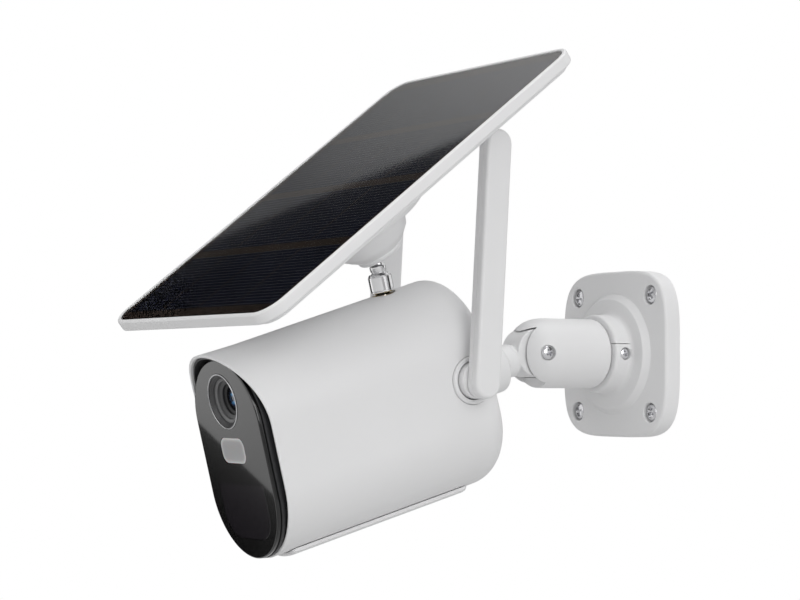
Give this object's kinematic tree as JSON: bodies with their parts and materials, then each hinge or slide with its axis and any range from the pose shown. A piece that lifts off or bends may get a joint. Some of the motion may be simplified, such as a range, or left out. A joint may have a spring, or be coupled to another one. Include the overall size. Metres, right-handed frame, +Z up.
{
  "type": "solar-powered security camera",
  "caption": "Outdoor camera on a tilting wall bracket, with a solar panel on a ball joint and two fold-back antennas.",
  "frame": {"origin": "centre of the wall plate's back face, which lies on the wall", "axes": "+Y points into the wall, +Z is up, the camera looks towards -Y, and X = 0 is the plane of symmetry"},
  "size_m": [0.1248, 0.2081, 0.1936],
  "materials": {
    "white_plastic": "satin moulded",
    "black_plastic": "satin moulded",
    "gloss_black": "polished",
    "grey_plastic": "satin moulded",
    "diffuser": "frosted",
    "bright_steel": "bright plated",
    "zinc_steel": "bright zinc",
    "brass": "turned",
    "rubber": "matte",
    "circuit_board": "lacquered",
    "cell_case": "shrink wrapped",
    "solar_cells": "laminated",
    "clear_glass": "polished"
  },
  "bodies": {
    "wall_mount": {"wall_plate": "white_plastic", "wall_screw_1": "zinc_steel", "wall_screw_2": "zinc_steel", "wall_screw_3": "zinc_steel", "wall_screw_4": "zinc_steel", "collar_screw": "zinc_steel"},
    "arm": {"arm_tube": "white_plastic", "pivot_screw": "zinc_steel", "pivot_nut": "zinc_steel", "pivot_washer_right": "black_plastic", "pivot_washer_left": "black_plastic"},
    "knuckle": {"tilt_knuckle": "white_plastic"},
    "head": {"rear_boss": "white_plastic", "housing_shell": "white_plastic", "front_frame": "black_plastic", "front_cover": "gloss_black", "lens_ring": "bright_steel", "lens_baffle": "grey_plastic", "lens_glass": "clear_glass", "lens_barrel": "black_plastic", "light_window": "diffuser", "sensor_window": "gloss_black", "front_gasket": "rubber", "sensor_board": "circuit_board", "front_board": "circuit_board", "lamp_1": "diffuser", "lamp_2": "diffuser", "motion_sensor": "zinc_steel", "main_board": "circuit_board", "radio_can": "zinc_steel", "loudspeaker": "black_plastic", "battery_holder": "black_plastic", "battery_cell_1": "cell_case", "battery_cell_2": "cell_case", "battery_cell_3": "cell_case", "charging_port": "zinc_steel", "card_slot": "black_plastic", "post_insert": "brass", "ball_stud": "bright_steel", "antenna_socket_right": "white_plastic", "antenna_socket_left": "white_plastic"},
    "antenna_right": {"antenna_hub_right": "white_plastic", "antenna_inner_right": "white_plastic", "antenna_outer_right": "white_plastic", "antenna_strip_right": "brass"},
    "antenna_left": {"antenna_hub_left": "white_plastic", "antenna_inner_left": "white_plastic", "antenna_outer_left": "white_plastic", "antenna_strip_left": "brass"},
    "cover": {"service_cover": "white_plastic"},
    "button": {"reset_button": "grey_plastic"},
    "nut": {"lock_nut": "bright_steel"},
    "cup": {"ball_cup": "grey_plastic"},
    "panel": {"socket_bowl": "white_plastic", "socket_cap": "grey_plastic", "panel_frame": "white_plastic", "panel_glass": "clear_glass", "cell_sheet": "solar_cells", "panel_back": "white_plastic", "lead_socket": "black_plastic"}
  },
  "joints": [
    {"name": "arm_swivel", "type": "hinge", "parent": "wall_mount", "child": "arm", "pos_m": [0, 0, 0], "axis": [0, 1, 0], "range_deg": [-180, 180]},
    {"name": "camera_tilt", "type": "hinge", "parent": "arm", "child": "knuckle", "pos_m": [0, -0.0505, 0], "axis": [-1, 0, 0], "range_deg": [-48, 30]},
    {"name": "camera_turn", "type": "hinge", "parent": "knuckle", "child": "head", "pos_m": [0, -0.0505, 0], "axis": [0, -0.9548, -0.2974], "range_deg": [-90, 90]},
    {"name": "antenna_right_fold", "type": "hinge", "parent": "head", "child": "antenna_right", "pos_m": [0, -0.0985, -0.01127], "axis": [-1, 0, 0], "range_deg": [-3, 35]},
    {"name": "antenna_left_fold", "type": "hinge", "parent": "head", "child": "antenna_left", "pos_m": [0, -0.0985, -0.01127], "axis": [-1, 0, 0], "range_deg": [-3, 35]},
    {"name": "cover_open", "type": "hinge", "parent": "head", "child": "cover", "pos_m": [0, -0.16611, -0.07734], "axis": [-1, 0, 0], "range_deg": [0, 100]},
    {"name": "reset_button_press", "type": "slide", "parent": "head", "child": "button", "axis": [0, -0.2443, 0.9697], "range_m": [0, 0.0005], "stiffness_N_per_m": 250, "springref_m": -0.0008},
    {"name": "lock_nut_turn", "type": "hinge", "parent": "head", "child": "nut", "pos_m": [0, -0.12627, 0.04371], "axis": [0, -0.2443, 0.9697], "range_deg": [0, 360]},
    {"name": "panel_tilt", "type": "hinge", "parent": "head", "child": "cup", "pos_m": [0, -0.12627, 0.04371], "axis": [-1, 0, 0], "range_deg": [-5, 5]},
    {"name": "panel_spin", "type": "hinge", "parent": "cup", "child": "panel", "pos_m": [0, -0.12627, 0.04371], "axis": [0, -0.6177, 0.7864], "range_deg": [-180, 180]}
  ]
}
